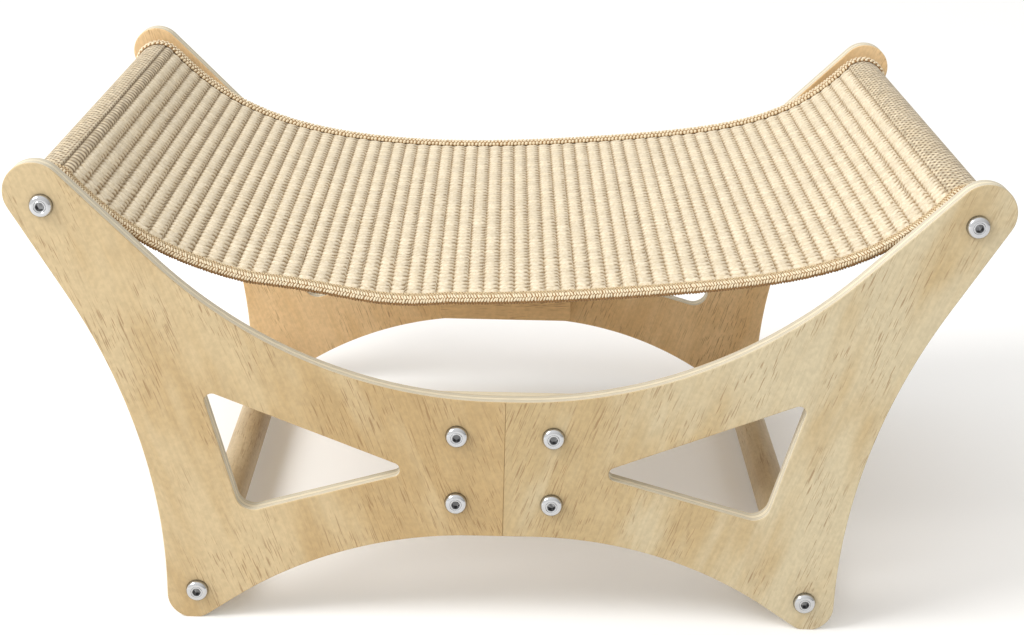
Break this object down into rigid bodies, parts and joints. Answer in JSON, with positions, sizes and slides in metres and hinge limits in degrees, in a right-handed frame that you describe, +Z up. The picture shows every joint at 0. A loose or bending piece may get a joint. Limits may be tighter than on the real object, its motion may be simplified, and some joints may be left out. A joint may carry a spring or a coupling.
{
  "type": "cat hammock",
  "caption": "Free-standing cat hammock with plywood side frames, round crossbars and a ribbed mat slung between the upper ones.",
  "frame": {"origin": "on the floor, under the middle of the hammock", "axes": "+X to the right along the hammock's length, +Y from the front frame to the rear one, +Z up"},
  "size_m": [0.5, 0.3468, 0.25],
  "materials": {
    "plywood": "bare pine plywood, lightly sanded",
    "dowel": "bare turned dowel",
    "bolt": "bright zinc plate",
    "insert": "plain",
    "mat": "thick ribbed sisal weave",
    "canvas": "plain-weave canvas",
    "binding": "herringbone tape"
  },
  "bodies": {
    "hammock": {"front_left_panel": "plywood", "front_right_panel": "plywood", "rear_left_panel": "plywood", "rear_right_panel": "plywood", "front_splice_plate": "plywood", "rear_splice_plate": "plywood", "front_splice_bolts": "bolt", "rear_splice_bolts": "bolt", "front_splice_inserts": "insert", "rear_splice_inserts": "insert", "mat": "mat", "left_sleeve": "canvas", "right_sleeve": "canvas", "front_binding": "binding", "rear_binding": "binding"},
    "left_top_rod": {"left_top_rod": "dowel", "left_top_rod_bolts": "bolt", "left_top_rod_inserts": "insert"},
    "right_top_rod": {"right_top_rod": "dowel", "right_top_rod_bolts": "bolt", "right_top_rod_inserts": "insert"},
    "left_bottom_rod": {"left_bottom_rod": "dowel", "left_bottom_rod_bolts": "bolt", "left_bottom_rod_inserts": "insert"},
    "right_bottom_rod": {"right_bottom_rod": "dowel", "right_bottom_rod_bolts": "bolt", "right_bottom_rod_inserts": "insert"}
  },
  "joints": [
    {"name": "left_top_rod_turn", "type": "hinge", "parent": "hammock", "child": "left_top_rod", "pos_m": [-0.231, 0, 0.2285], "axis": [0, 1, 0], "continuous": true},
    {"name": "right_top_rod_turn", "type": "hinge", "parent": "hammock", "child": "right_top_rod", "pos_m": [0.231, 0, 0.2285], "axis": [0, 1, 0], "continuous": true},
    {"name": "left_bottom_rod_turn", "type": "hinge", "parent": "hammock", "child": "left_bottom_rod", "pos_m": [-0.162, 0, 0.01654], "axis": [0, 1, 0], "continuous": true},
    {"name": "right_bottom_rod_turn", "type": "hinge", "parent": "hammock", "child": "right_bottom_rod", "pos_m": [0.162, 0, 0.01654], "axis": [0, 1, 0], "continuous": true}
  ]
}
